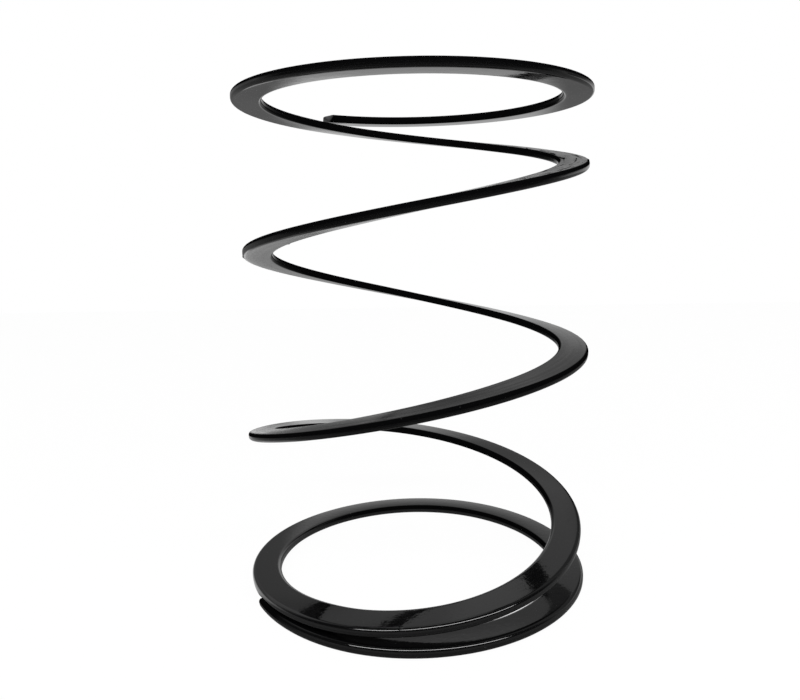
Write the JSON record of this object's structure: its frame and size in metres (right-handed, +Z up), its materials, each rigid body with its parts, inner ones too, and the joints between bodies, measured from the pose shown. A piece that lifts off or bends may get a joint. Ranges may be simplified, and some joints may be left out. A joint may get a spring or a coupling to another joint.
{
  "type": "tender spring",
  "caption": "Open coil of flat wire with closed ends and a gloss black coat, which keeps a main spring seated by taking up slack on a damper.",
  "frame": {"origin": "on the coil's axis, in the plane that the bottom coil lies on", "axes": "+Z up along the coil's axis, +X to the right and -Y towards a viewer who sees the bottom wire end at the front left"},
  "size_m": [0.0734, 0.0736, 0.1022],
  "materials": {
    "black_coat": "gloss black coat"
  },
  "bodies": {
    "root": {"flat_wire_spring": "black_coat"}
  },
  "joints": []
}
